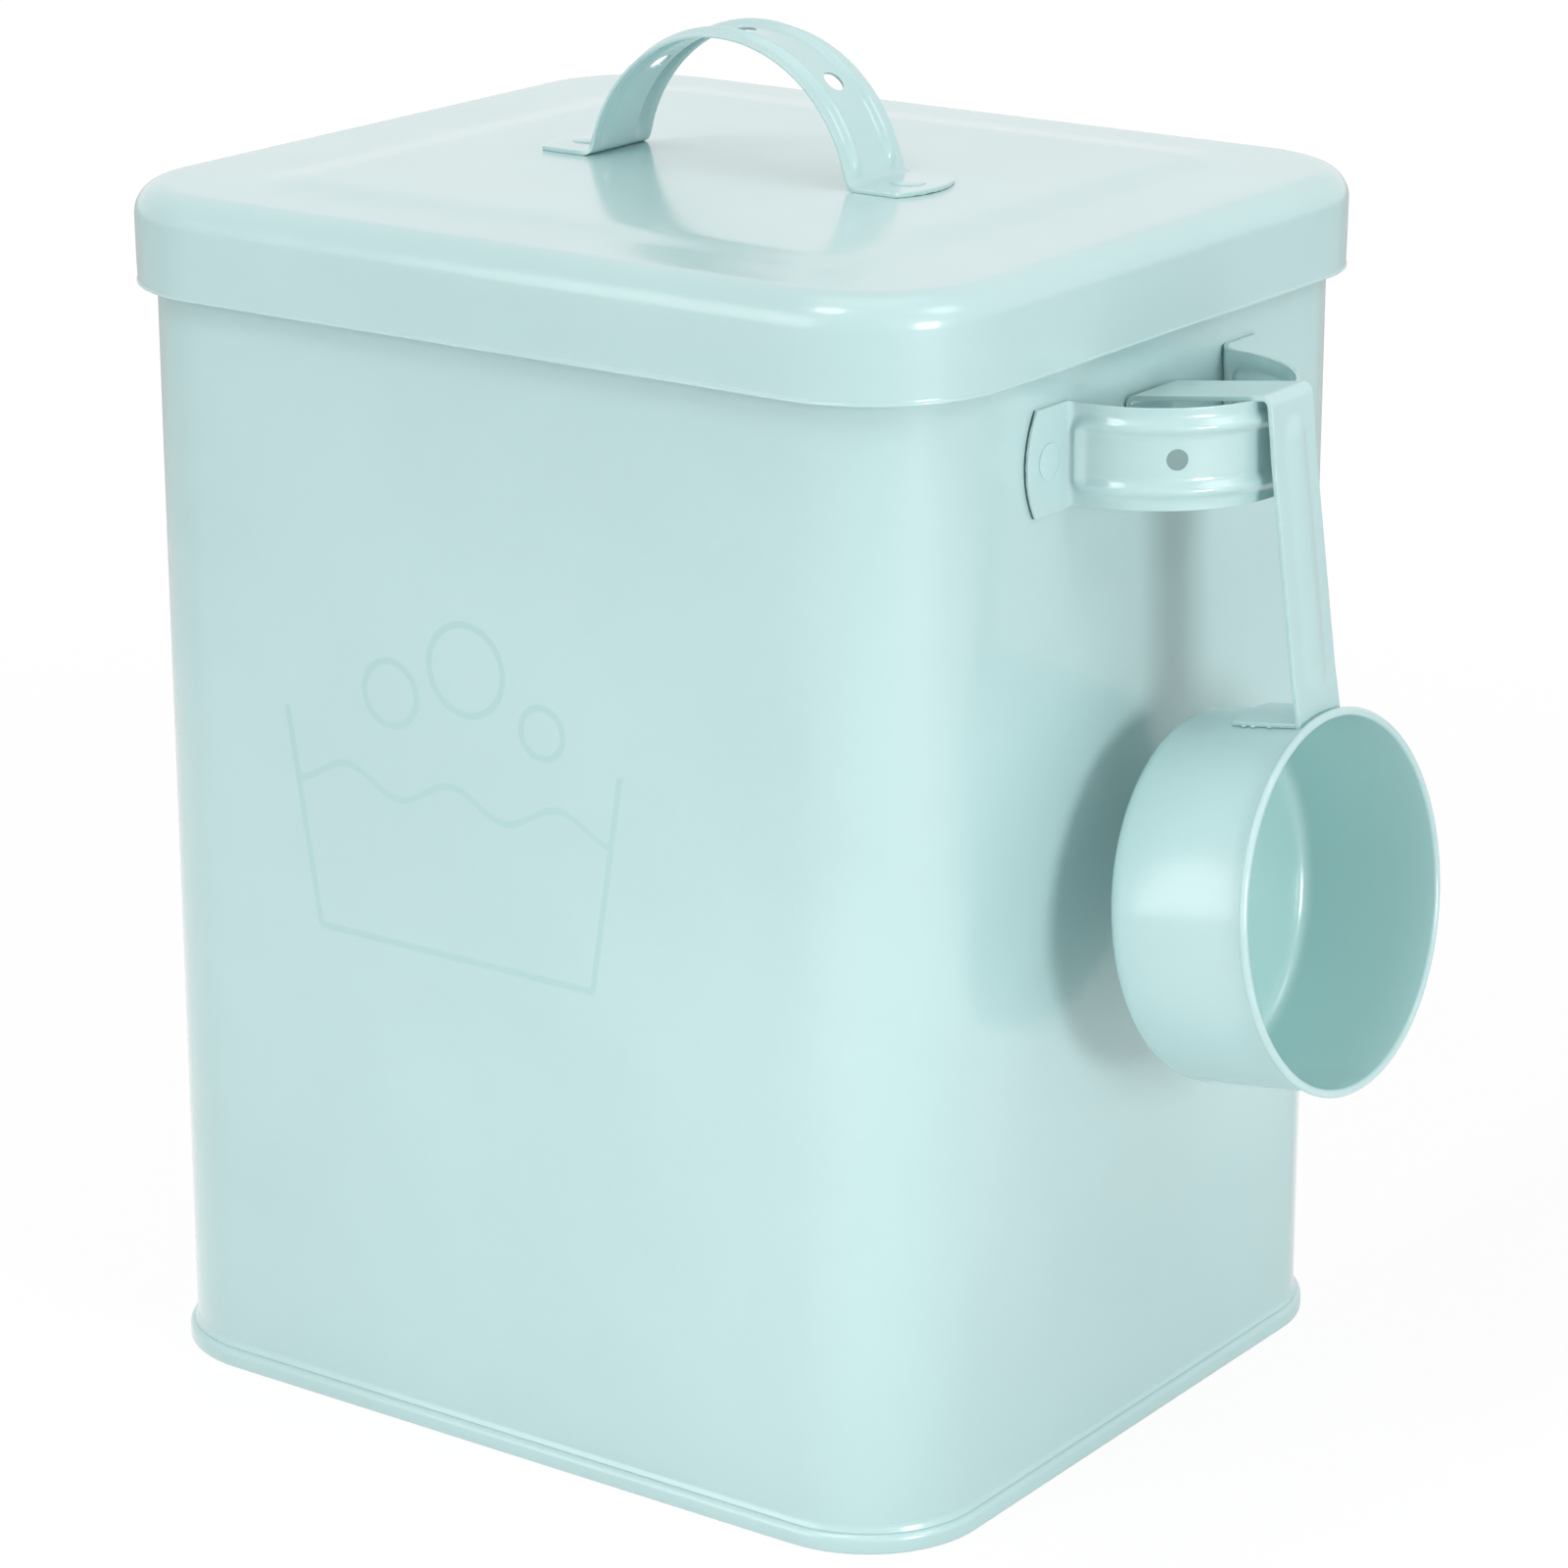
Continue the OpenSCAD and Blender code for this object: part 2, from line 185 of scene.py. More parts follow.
class Tree:
    """Adds nodes to a shader or geometry tree."""

    def __init__(self, node_tree):
        self.nodes = node_tree.nodes
        self.links = node_tree.links

    def node(self, kind, settings=None, inputs=None, out=0):
        """Adds a node with its settings and inputs, and gives one of its outputs."""
        made = self.nodes.new(kind)
        for name, value in (settings or {}).items():
            setattr(made, name, value)
        for name, value in (inputs or {}).items():
            self.plug(made.inputs[name], value)
        return Wire(self, made.outputs[out])

    def plug(self, socket, value):
        """Feeds a socket from a wire, or sets it to a value."""
        if isinstance(value, Wire):
            self.links.new(value.socket, socket)
        else:
            socket.default_value = value

    def math(self, operation, *values):
        """A Math node on wires and numbers."""
        return self.node("ShaderNodeMath", {"operation": operation}, dict(enumerate(values)))

    def step(self, value, low, high):
        """0 below low, 1 above high, smooth between."""
        return self.node(
            "ShaderNodeMapRange",
            {"interpolation_type": "SMOOTHSTEP"},
            {"Value": value, "From Min": low, "From Max": high},
        )

    def noise(self, where, scale, detail=2.0):
        """Noise about 0.5, finer with a larger scale."""
        return self.node("ShaderNodeTexNoise", None, {"Vector": where, "Scale": scale, "Detail": detail})

    def blend(self, factor, first, second):
        """First colour at factor 0, second at 1."""
        inputs = {0: factor, 6: first, 7: second}
        return self.node("ShaderNodeMix", {"data_type": "RGBA"}, inputs, out=2)

    def split(self, vector):
        """The x, y and z of a vector."""
        parts = self.nodes.new("ShaderNodeSeparateXYZ")
        self.plug(parts.inputs[0], vector)
        return [Wire(self, socket) for socket in parts.outputs]

    def attribute(self, name):
        """A number that the mesh holds at its points."""
        return self.node("ShaderNodeAttribute", {"attribute_name": name}, out=2)


def linear(red, green, blue):
    """Linear colour of an sRGB one in 0 to 255."""
    parts = []
    for value in (red, green, blue):
        v = value / 255.0
        parts.append(v / 12.92 if v <= 0.04045 else ((v + 0.055) / 1.055) ** 2.4)
    return (parts[0], parts[1], parts[2], 1.0)


COAT_TONE = linear(184, 215, 215)
COAT_DEEP = linear(180, 211, 211)
PRINT_TONE = linear(170, 207, 206)
# Dark tone for the foot edges: partly paint breaks, partly painted shade of the joint.
GAP_PAINT_AND_SHADE_TONE = linear(62, 96, 95)
# Painted shade inside the cup.
BOWL_SHADE_TONE = linear(173, 212, 210)
WHITE = (1.0, 1.0, 1.0, 1.0)
# Table colour near the tin, and the darker colour of its painted shade further out and of the tin's
# painted shadow.
FLOOR_TONE = (0.86, 0.86, 0.86, 1.0)
FLOOR_SHADE_TONE = (0.45, 0.45, 0.45, 1.0)


def powder_coat(name, peel, wave, gloss, haze, gap_paint_and_shade=False, bowl_shade=False, pattern=None):
    """Satin powder coat with a faint drift of tone.

    peel and wave set its fine and its slow unevenness, gloss and haze the clear layer over it.
    gap_paint_and_shade adds a dark broken line along marked edges, partly paint breaks and partly painted
    shade;
    bowl_shade adds painted shade inside the cup, and pattern a print.
    """
    material = bpy.data.materials.new(name)
    material.use_nodes = True
    tree = Tree(material.node_tree)
    shader = tree.nodes["Principled BSDF"]
    where = tree.node("ShaderNodeTexCoord", out=3)
    drift = tree.noise(where, 16.0, 3.0)
    cloud = tree.noise(where, 70.0)
    colour = tree.blend(tree.step(drift, 0.3, 0.7), COAT_TONE, COAT_DEEP)
    rough = 0.38 + (cloud - 0.5) * 0.10
    if pattern:
        print_mask = pattern(tree, where)
        colour = tree.blend(print_mask, colour, PRINT_TONE)
        rough = rough + print_mask * 0.06
    if gap_paint_and_shade:
        # Painted shade with paint breaks: a dark, noise-broken line where the attribute marks a foot's
        # lower edge.
        paint_break_and_shade = tree.attribute("foot_edge") * (0.5 + tree.noise(where, 420.0))
        colour = tree.blend(tree.step(paint_break_and_shade, 0.42, 0.56), colour, GAP_PAINT_AND_SHADE_TONE)
    if bowl_shade:
        # Painted shade: the cup's colour darkens from the rim inwards, following the inside attribute.
        colour = tree.blend(tree.attribute("inside"), colour, BOWL_SHADE_TONE)
    skin = tree.noise(where, 520.0)
    grit = tree.noise(where, 2600.0)
    swell = tree.noise(where, 150.0, 1.0)
    height = swell * wave + (skin + grit * 0.25) * (0.08 * peel)
    bump = tree.node("ShaderNodeBump", None, {"Strength": 1.0, "Distance": 0.0002, "Height": height})
    tree.plug(shader.inputs["Base Color"], colour)
    tree.plug(shader.inputs["Roughness"], rough)
    tree.plug(shader.inputs["Normal"], bump)
    shader.inputs["Coat Weight"].default_value = gloss
    shader.inputs["Coat Roughness"].default_value = haze
    return material


def wash_print(tree, where):
    """Printed wash tub in thin lines on the front: sides, base, a wave of water and three bubbles."""
    x, y, z = tree.split(where)
    x = x + 0.010
    z = z - 0.120
    soft = 0.0003

    def stroke(off):
        """A thin line where off is near 0."""
        return 1.0 - tree.step(tree.math("ABSOLUTE", off), 0.00050, 0.00085)

    def between(value, low, high):
        """1 from low to high, with soft ends."""
        past_low = tree.step(value, low - soft, low + soft)
        return past_low * (1.0 - tree.step(value, high - soft, high + soft))

    across = tree.math("ABSOLUTE", x)
    side = stroke(across - (0.036 + z * 0.16)) * between(z, -0.0220, 0.0205)
    foot = stroke(z + 0.0220) * (1.0 - tree.step(across, 0.0325, 0.0330))
    wave = tree.math("COSINE", x * 251.0) * 0.0024 + 0.0090
    water = stroke(z - wave) * (1.0 - tree.step(across, 0.0372, 0.0376))
    lines = tree.math("MAXIMUM", tree.math("MAXIMUM", side, foot), water)
    bubbles = ((-0.014, 0.0270, 0.0062), (0.004, 0.0345, 0.0086), (0.0215, 0.0255, 0.0048))
    for cx, cz, radius in bubbles:
        along = x - cx
        rise = z - cz
        bubble = stroke(tree.math("SQRT", along * along + rise * rise) - radius)
        lines = tree.math("MAXIMUM", lines, bubble)
    front = 1.0 - tree.step(y, -0.0795, -0.0785)
    return lines * front


def finish_piece(name, mesh, material, body, nodes):
    """Makes an object of a mesh in metres, sets its finish and ties it to the frame."""
    piece = bpy.data.objects.new(name, mesh)
    scene.collection.objects.link(piece)
    mesh.materials.clear()
    mesh.materials.append(material)
    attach(piece, body)
    if nodes:
        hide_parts(*nodes)
    return piece


def mesh_of(name, points, faces):
    """Mesh in metres from points in millimetres, smooth but for its sharp edges."""
    mesh = bpy.data.meshes.new(name)
    mesh.from_pydata([Vector(p) * MM for p in points], [], faces)
    tidy = bmesh.new()
    tidy.from_mesh(mesh)
    bmesh.ops.remove_doubles(tidy, verts=tidy.verts, dist=1e-7)
    bmesh.ops.recalc_face_normals(tidy, faces=tidy.faces)
    tidy.to_mesh(mesh)
    tidy.free()
    mesh.shade_smooth()
    mesh.set_sharp_from_angle(angle=SHARP_ANGLE)
    return mesh


def carrier_of(mesh):
    """Object that holds a mesh while modifiers work on it."""
    carrier = bpy.data.objects.new("carrier", mesh)
    scene.collection.objects.link(carrier)
    return carrier


def take_mesh(carrier):
    """Mesh that the carrier's modifiers make. The carrier goes."""
    graph = bpy.context.evaluated_depsgraph_get()
    made = bpy.data.meshes.new_from_object(carrier.evaluated_get(graph), depsgraph=graph)
    carrier.modifiers.clear()
    bpy.data.objects.remove(carrier)
    return made


def apply_modifiers(mesh, *modifiers):
    """A mesh after modifiers, each given as (type, settings)."""
    carrier = carrier_of(mesh)
    for kind, settings in modifiers:
        modifier = carrier.modifiers.new(kind.lower(), kind)
        for name, value in settings.items():
            setattr(modifier, name, value)
    return take_mesh(carrier)


def thickened(thickness):
    """Modifier that gives a sheet its thickness, inwards from the modelled face."""
    return "SOLIDIFY", {"thickness": thickness * MM, "offset": -1.0, "use_even_offset": False}


def rounded(width):
    """Modifier that rounds the cut edges of a sheet."""
    settings = {"width": width * MM, "segments": 3, "limit_method": "ANGLE", "angle_limit": BEVEL_ANGLE}
    return "BEVEL", settings


def put_sheet(mesh, place):
    """Moves a finished sheet to its place and shades it smooth but for its cut edges."""
    mesh.transform(place)
    mesh.shade_smooth()
    mesh.set_sharp_from_angle(angle=CUT_ANGLE)


def smooth(low, high, value):
    """0 at low, 1 at high, smooth between."""
    t = min(1.0, max(0.0, (value - low) / (high - low)))
    return t * t * (3 - 2 * t)


def arc(cx, cy, r, start, end, steps):
    """Points of an arc between two angles in degrees."""
    out = []
    for k in range(steps + 1):
        a = math.radians(start + (end - start) * k / steps)
        out.append((cx + r * math.cos(a), cy + r * math.sin(a)))
    return out


def ring(w, d, r, z, turn=14, run=22):
    """Points of a rounded rectangle at height z, counter-clockwise seen from above."""
    corners = [(1, -1, -90), (1, 1, 0), (-1, 1, 90), (-1, -1, 180)]
    points = []
    for k, (sx, sy, start) in enumerate(corners):
        cx = sx * (w / 2 - r)
        cy = sy * (d / 2 - r)
        curve = arc(cx, cy, r, start, start + 90, turn)
        points += [(x, y, z) for x, y in curve]
        nx, ny, nstart = corners[(k + 1) % 4]
        a = math.radians(nstart)
        goal = (nx * (w / 2 - r) + r * math.cos(a), ny * (d / 2 - r) + r * math.sin(a))
        here = curve[-1]
        for j in range(1, run):
            t = j / run
            points.append((here[0] + (goal[0] - here[0]) * t, here[1] + (goal[1] - here[1]) * t, z))
    return points


def skin_rings(rings, closed=False, cap_first=False, cap_last=False):
    """Points and faces of a skin over rings that have the same number of points."""
    count = len(rings[0])
    points = [p for one in rings for p in one]
    faces = []
    last = len(rings) if closed else len(rings) - 1
    for k in range(last):
        a = k * count
        b = (k + 1) % len(rings) * count
        for j in range(count):
            i = (j + 1) % count
            faces.append((a + j, a + i, b + i, b + j))
    if cap_first:
        faces.append(tuple(range(count - 1, -1, -1)))
    if cap_last:
        faces.append(tuple(range((len(rings) - 1) * count, len(rings) * count)))
    return points, faces


def grid_faces(rows, columns, base=0):
    """Quads over rows of points, each row with the same number of columns."""
    faces = []
    for r in range(rows - 1):
        for c in range(columns - 1):
            a = base + r * columns + c
            faces.append((a, a + 1, a + columns + 1, a + columns))
    return faces


def drum(rings, amount):
    """Slight oil-canning of the flat sides of a sheet: rings pulled in and out by a slow wave."""
    out = []
    for one in rings:
        row = []
        for x, y, z in one:
            across = math.sin(x * 0.031 + 0.7) * math.sin(z * 0.021 + 0.4)
            along = math.sin(y * 0.035 + 1.9) * math.sin(z * 0.024 + 1.1)
            row.append((x + amount * along * x / 91.0, y + amount * across * y / 80.0, z))
        out.append(row)
    return out


def body_ring(off, z):
    """Outline of the body at height z, offset outwards."""
    return ring(BODY_W + 2 * off, BODY_D + 2 * off, CORNER_R + off, z)


def lid_ring(off, z):
    """Outline of the lid at height z, offset outwards."""
    return ring(LID_W + 2 * off, LID_D + 2 * off, LID_R + off, z)


def tin_wall(material):
    """Wrapped wall with its rolled rim, and the flat lock seam up the back."""
    levels = [SHEET_T, 2.0, BEAD_H, 5.0, 8.0]
    levels += [14.0 + 13.0 * k for k in range(16)]
    levels += [218.0, 226.0]
    rim_z = BODY_H - RIM_R
    section = [(0.0, z) for z in levels]
    section += arc(-RIM_R, rim_z, RIM_R, 0, 250, 14)
    section += [(-SHEET_T, z) for z in reversed(levels)]
    rings = [body_ring(off, z) for off, z in section]
    points, faces = skin_rings(drum(rings, WALL_DRUM), closed=True)
    base = len(points)
    seam = [(3.0, -0.2), (2.7, 0.5), (-2.7, 0.5), (-3.0, -0.2)]
    seam_levels = [BEAD_H + 1.0] + [20.0 + 19.0 * k for k in range(11)] + [BODY_H - 2 * RIM_R - 1.0]
    for z in seam_levels:
        points += [(x, BODY_D / 2 + out, z) for x, out in seam]
    faces += grid_faces(len(seam_levels), len(seam), base)
    last = base + (len(seam_levels) - 1) * len(seam)
    faces.append((base, base + 1, base + 2, base + 3))
    faces.append((last, last + 1, last + 2, last + 3))
    mesh = mesh_of("tin_wall", points, faces)
    return finish_piece("tin_wall", mesh, material, "tin", ["body_wall"])


def base_pan(material):
    """Sunk bottom of the tin, with the rounded edge that stands on the table."""
    upper = BASE_LIFT + SHEET_T
    section = [(-14.0, BASE_LIFT)] + arc(-2.2, BASE_LIFT - 0.9, 0.9, 90, 0, 4)
    section += [(-1.3, 1.0)]
    section += arc(-0.6, 0.75, 0.7, 180, 270, 4)
    section += [(0.2, 0.05), (0.2, 0.5), (-0.65, 0.5), (-0.65, upper), (-14.0, upper)]
    rings = [body_ring(off, z) for off, z in section]
    points, faces = skin_rings(rings, cap_first=True, cap_last=True)
    mesh = mesh_of("base_pan", points, faces)
    return finish_piece("base_pan", mesh, material, "tin", ["base_panel"])


def base_bead(material):
    """Seam round the foot of the tin: the wall's flare, a thin crease and the folded bead under it."""
    section = [(-0.3, 5.6), (0.0, 5.4), (0.05, 5.0), (0.14, 4.6)]
    section += [(0.30, 4.3), (0.48, 4.0), (0.50, 3.9), (0.38, 3.74)]
    section += arc(0.10, 2.4, BEAD_OUT - 0.10, 62, 0, 8)
    section += [(BEAD_OUT, 1.6)]
    section += arc(BEAD_OUT - 0.6, 0.6, 0.6, 0, -90, 5)
    section += [(0.0, 0.0), (-0.3, 0.2)]
    mesh = swept(section, BODY_W, BODY_D, CORNER_R, material)
    return finish_piece("base_bead", mesh, material, "tin", [])


def lid_hem(material):
    """Rolled hem along the lower edge of the lid."""
    foot = LID_TOP - LID_DROP
    section = [(-1.0, foot + 1.6), (-0.3, foot + 1.4), (-0.17, foot + 0.9), (-HEM_IN, foot + 0.72)]
    section += arc(-0.36, foot + 0.36, 0.36, 55, -90, 9)
    section += arc(-1.4, foot + 0.45, 0.45, -90, -180, 4) + [(-1.85, foot + 1.2)]
    mesh = swept(section, LID_W, LID_D, LID_R, material)
    return finish_piece("lid_hem", mesh, material, "lid", [])


def lid_pressing(material):
    """Slip lid above its hem: skirt, rounded edge, land, soft step and raised panel."""
    hem_z = LID_TOP - LID_DROP + HEM_R
    edge_z = LID_TOP - LID_EDGE_R
    outer = [(-HEM_IN, hem_z), (-HEM_IN, hem_z + 1.5), (-HEM_IN / 2, hem_z + 4.0), (0.0, edge_z)]
    outer += arc(-LID_EDGE_R, edge_z, LID_EDGE_R, 4, 90, 14)
    rings = [lid_ring(off, z) for off, z in outer]
    edge = (LID_W - 2 * LID_EDGE_R, LID_D - 2 * LID_EDGE_R, LID_R - LID_EDGE_R)
    top = []
    for t in (0.25, 0.5, 0.75, 0.9):
        land = [a + (b - a) * t for a, b in zip(edge, (PANEL_W, PANEL_D, PANEL_R))]
        top.append((*land, LAND_RISE * t))
    for k in range(9):
        inset = STEP_INSET * k / 8 - STEP_GROW
        rise = LAND_RISE + (PANEL_RISE - LAND_RISE) * smooth(0, 1, k / 8)
        top.append((PANEL_W - 2 * inset, PANEL_D - 2 * inset, PANEL_R - inset, rise))
    flat = top[-1][:3]
    for t in (0.12, 0.3, 0.5, 0.7, 0.85, 0.95):
        top.append((*[size * (1 - t) for size in flat], PANEL_RISE))
    rings += [ring(w, d, r, LID_TOP + rise) for w, d, r, rise in top]
    under = LID_TOP - SHEET_T
    inner = [ring(w - 0.4, d - 0.4, max(r - 0.2, 0.1), under + rise) for w, d, r, rise in reversed(top)]
    turn = arc(-LID_EDGE_R, edge_z, LID_EDGE_R - SHEET_T, 90, 4, 8)
    inner += [lid_ring(off, z) for off, z in turn]
    inner += [lid_ring(-HEM_IN - SHEET_T, hem_z + 2.0), lid_ring(-HEM_IN - SHEET_T, hem_z)]
    outside, faces = skin_rings(rings, cap_last=True)
    inside, inner_faces = skin_rings(inner, cap_first=True)
    base = len(outside)
    count = len(rings[0])
    faces += [tuple(base + i for i in face) for face in inner_faces]
    tail = base + (len(inner) - 1) * count
    for j in range(count):
        i = (j + 1) % count
        faces.append((tail + j, tail + i, i, j))
    mesh = mesh_of("lid_pressing", outside + inside, faces)
    return finish_piece("lid_pressing", mesh, material, "lid", ["lid_shell"])


class StrapPath:
    """Outer face of a strap handle, foot to foot over the arch, with s measured from the crest."""

    def __init__(self, r, lift, half, hole_r, open_bead):
        self.r = r
        self.hole_r = hole_r
        self.open_bead = open_bead
        self.lift = lift
        self.half = math.radians(half)
        drop = lift + (r + BEND_R) * math.cos(self.half) - STRAP_T - BEND_R
        self.leg = drop / math.sin(self.half)
        self.foot = (r + BEND_R) * math.sin(self.half) + self.leg * math.cos(self.half)
        self.s_arch = r * self.half
        self.s_leg = self.s_arch + self.leg
        self.s_bend = self.s_leg + BEND_R * self.half
        self.s_end = self.s_bend + FOOT_L

    def at(self, s):
        """Point (x, z) and outward normal of the outer face."""
        side = 1 if s >= 0 else -1
        d = abs(s)
        if d <= self.s_arch:
            a = d / self.r
            n = (math.sin(a), math.cos(a))
            p = (self.r * n[0], self.lift + self.r * n[1])
        elif d <= self.s_leg:
            n = (math.sin(self.half), math.cos(self.half))
            run = d - self.s_arch
            p = (self.r * n[0] + run * n[1], self.lift + self.r * n[1] - run * n[0])
        elif d <= self.s_bend:
            turn = self.half - (d - self.s_leg) / BEND_R
            n = (math.sin(turn), math.cos(turn))
            p = (self.foot - BEND_R * n[0], STRAP_T + BEND_R - BEND_R * n[1])
        else:
            n = (0.0, 1.0)
            p = (self.foot + d - self.s_bend, STRAP_T)
        return (side * p[0], p[1]), (side * n[0], n[1])

    def bead(self, s, v):
        """Height of the pressed bead: a loop round the channel, or two beads that die in the bends."""
        if self.open_bead:
            off = abs(abs(v) - BEAD_MIDDLE) / BEAD_HALF_W
            fade = 1.0 - smooth(self.s_leg - 3.5, self.s_leg + 0.9, abs(s))
            return BEAD_RISE * fade * math.cos(math.pi / 2 * min(1.0, off)) ** 2
        reach = self.s_leg - 0.1
        corner = 2.0
        ds = abs(s) - (reach - corner)
        dv = abs(v) - (BEAD_MIDDLE - corner)
        if ds > 0 and dv > 0:
            off = abs(math.hypot(ds, dv) - corner)
        else:
            off = abs(max(ds, dv) - corner)
        if off >= BEAD_HALF_W:
            return 0.0
        return BEAD_RISE * math.cos(math.pi / 2 * off / BEAD_HALF_W) ** 2

    def half_width(self, s):
        """Half the strap's width, which grows towards the feet."""
        return STRAP_HALF_W + (FOOT_HALF_W - STRAP_HALF_W) * smooth(self.s_leg, self.s_bend, abs(s))

    def rows(self):
        """Places of the blank's cross rows, with a square block of rows at each hole."""
        marks = [HOLE_PITCH * k for k in (-1, 0, 1)]
        fixed = set()
        for centre in marks:
            for j in range(BLOCK_STEPS + 1):
                fixed.add(round(centre - HOLE_BLOCK + 2 * HOLE_BLOCK * j / BLOCK_STEPS, 5))
        stops = [-self.s_end, -self.s_bend, -self.s_leg, -self.s_arch]
        stops += sorted(fixed)
        stops += [self.s_arch, self.s_leg, self.s_bend, self.s_end]
        out = [stops[0]]
        for a, b in zip(stops, stops[1:]):
            fine = 0.35 if self.s_leg < abs(a + b) / 2 < self.s_bend else 0.8
            n = max(1, math.ceil((b - a) / fine - 0.01))
            out += [a + (b - a) * (k + 1) / n for k in range(n)]
        return out, marks


def strap_blank(path):
    """Flat blank of a handle as (s, v) points and quads, with round holes in the channel."""
    rows, marks = path.rows()
    side = [3.7, 4.2, 4.7, 5.2, 5.7, 6.2, 6.7, 7.2, 7.7, 8.2, 8.7, 9.1, STRAP_HALF_W]
    middle = [-HOLE_BLOCK + 2 * HOLE_BLOCK * k / BLOCK_STEPS for k in range(BLOCK_STEPS + 1)]
    columns = [-v for v in reversed(side)] + middle + side
    first = len(side)
    end = BLOCK_STEPS
    width = len(columns)
    points = []
    for s in rows:
        wide = path.half_width(s) / STRAP_HALF_W
        for v in columns:
            points.append((s, v * wide if abs(v) > HOLE_BLOCK + 0.01 else v))
    faces = []
    holes = []
    for centre in marks:
        start = min(range(len(rows)), key=lambda k: abs(rows[k] - (centre - HOLE_BLOCK)))
        holes.append((start, centre))
    for r in range(len(rows) - 1):
        for c in range(width - 1):
            inside = first <= c < first + end
            if inside and any(start <= r < start + end for start, _ in holes):
                continue
            a = r * width + c
            faces.append((a, a + 1, a + width + 1, a + width))
    for start, centre in holes:
        edge = [(start, first + k) for k in range(end)]
        edge += [(start + k, first + end) for k in range(end)]
        edge += [(start + end, first + end - k) for k in range(end)]
        edge += [(start + end - k, first) for k in range(end)]
        loop = [r * width + c for r, c in edge]
        previous = loop
        for t in (0.35, 0.65, 0.88, 1.0):
            current = []
            for i in loop:
                s, v = points[i]
                reach = math.hypot(s - centre, v)
                k = path.hole_r / reach
                current.append(len(points))
                points.append((centre + (s - centre) * (1 + (k - 1) * t), v * (1 + (k - 1) * t)))
            for j in range(len(loop)):
                i = (j + 1) % len(loop)
                faces.append((previous[j], previous[i], current[i], current[j]))
            previous = current
    return points, faces


def pressed_strap(path):
    """Outer face of a handle with its foot seat on z = 0 and its length along x."""
    blank, faces = strap_blank(path)
    points = []
    for s, v in blank:
        tip = max(0.0, (abs(s) - path.s_bend) / FOOT_L)
        sag = FOOT_END_R - math.sqrt(FOOT_END_R ** 2 - v * v)
        along = s - math.copysign(sag * tip, s)
        (x, z), (nx, nz) = path.at(along)
        rise = path.bead(s, v)
        points.append((x + nx * rise, v, z + nz * rise))
    mesh = mesh_of("blank", points, faces)
    turn_outwards(mesh)
    return mesh


def turn_outwards(mesh):
    """Turns a sheet so that its faces look up and out before it gets its thickness."""
    total = sum(p.normal.z * p.area for p in mesh.polygons)
    if total < 0:
        mesh.flip_normals()


def strap_handle(name, path, place, material, body, node, gap_paint_and_shade_amount):
    """Pressed strap handle, with a dark broken line round its feet: partly paint breaks, partly painted
    shade of the joint.
    """
    shell = apply_modifiers(pressed_strap(path), thickened(STRAP_T - 0.02))
    thin_arch(shell)
    ease_holes(shell, path)
    solid = apply_modifiers(shell, rounded(0.22))
    mark_foot_edge(solid, path, gap_paint_and_shade_amount)
    put_sheet(solid, place)
    return finish_piece(name, solid, material, body, [node])


def thin_arch(shell):
    """Draws the sheet thinner above the feet. The shell has its inner points after all outer ones."""
    count = len(shell.vertices) // 2
    for k in range(count):
        outer = shell.vertices[k].co
        inner = shell.vertices[count + k]
        share = 1.0 - ARCH_THINNING * smooth(1.5, 6.0, outer.z / MM)
        inner.co = outer + (inner.co - outer) * share


def ease_holes(shell, path):
    """Opens the inner edge of each hole a little, as a punch leaves it."""
    for centre in path.rows()[1]:
        (x, z), (nx, nz) = path.at(centre)
        middle = Vector((x, 0, z)) * MM
        axis = Vector((nx, 0, nz))
        for vertex in shell.vertices:
            off = vertex.co - middle
            depth = off.dot(axis)
            flat = off - axis * depth
            inner = -2.0 * STRAP_T * MM < depth < -0.5 * STRAP_T * MM
            if inner and flat.length < (path.hole_r + 0.06) * MM:
                vertex.co += flat.normalized() * HOLE_EASE * MM


def mark_foot_edge(mesh, path, amount):
    """Attribute foot_edge: how strongly the lower edge round the end of a foot is darkened, partly as
    paint breaks and partly as painted shade where the foot meets the sheet under it.
    """
    marks = mesh.attributes.new("foot_edge", "FLOAT", "POINT")
    for vertex in mesh.vertices:
        x, y, z = (c / MM for c in vertex.co)
        reach = abs(x) - path.foot
        sag = FOOT_END_R - math.sqrt(max(0.0, FOOT_END_R ** 2 - y * y))
        at_end = reach > FOOT_L - sag - 0.3
        marks.data[vertex.index].value = amount * max(0.0, 1.0 - z / STRAP_T) if at_end else 0.0


def side_place(turn):
    """Frame of a side handle: its x runs along the wall, its y up and its z out of the wall."""
    frame_of_wall = Matrix(((0, 0, 1, 0), (1, 0, 0, 0), (0, 1, 0, 0), (0, 0, 0, 1)))
    shift = Matrix.Translation((BODY_W / 2 * MM, SIDE_HANDLE_Y * MM, SIDE_HANDLE_Z * MM))
    return Matrix.Rotation(turn, 4, "Z") @ shift @ frame_of_wall


low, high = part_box("side_handle_right")
SIDE_HANDLE_Y = (low[1] + high[1]) / 2 / MM
SIDE_HANDLE_Z = (low[2] + high[2]) / 2 / MM
low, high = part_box("lid_handle")
LID_SEAT = low[2] / MM
low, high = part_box("scoop_handle")
HOOK_Z = high[2] / MM
HOOK_X = 121.26


def lathe(profile, steps):
    """Rings of a turned shape from (radius, height) points."""
    rings = []
    for r, h in profile:
        row = []
        for k in range(steps):
            a = 2 * math.pi * k / steps
            row.append((r * math.cos(a), r * math.sin(a), h))
        rings.append(row)
    return rings


